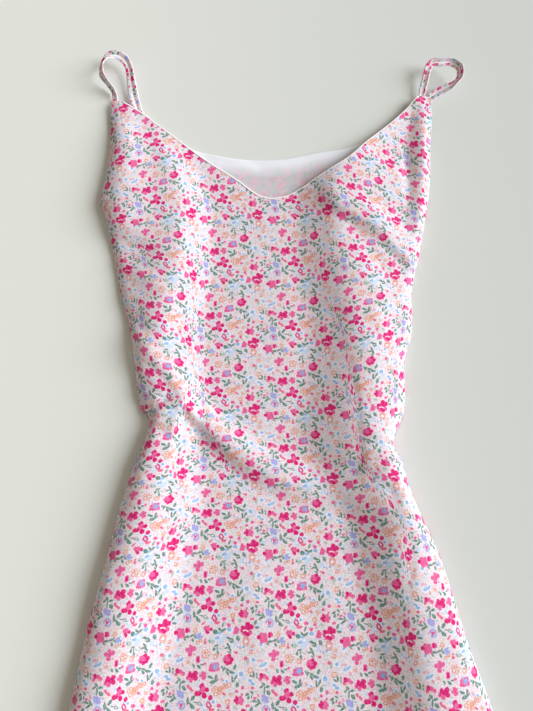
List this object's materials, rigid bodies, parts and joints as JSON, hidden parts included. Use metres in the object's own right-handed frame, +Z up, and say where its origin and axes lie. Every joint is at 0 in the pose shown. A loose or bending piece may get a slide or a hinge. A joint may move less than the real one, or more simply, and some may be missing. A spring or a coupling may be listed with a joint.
{
  "type": "slip dress",
  "caption": "Sleeveless floral slip dress with a V neck, self-fabric strap loops and a flared skirt, laid flat on its back panel.",
  "frame": {"origin": "on the back panel's underside, on the surface the dress lies on, a little below the waist", "axes": "+X across the dress to its right as seen from above, +Y along it towards the straps, +Z up from the surface"},
  "size_m": [0.4706, 0.8831, 0.0265],
  "materials": {
    "printed_cloth": "matt plain-weave cloth, off-white with a small pink, blue and green flower print",
    "lining": "thin white lining cloth, matt"
  },
  "bodies": {
    "root": {"front_panel": "printed_cloth", "back_panel": "printed_cloth", "strap_left": "printed_cloth", "strap_right": "printed_cloth", "back_lining": "lining", "front_neck_lining": "lining"}
  },
  "joints": []
}
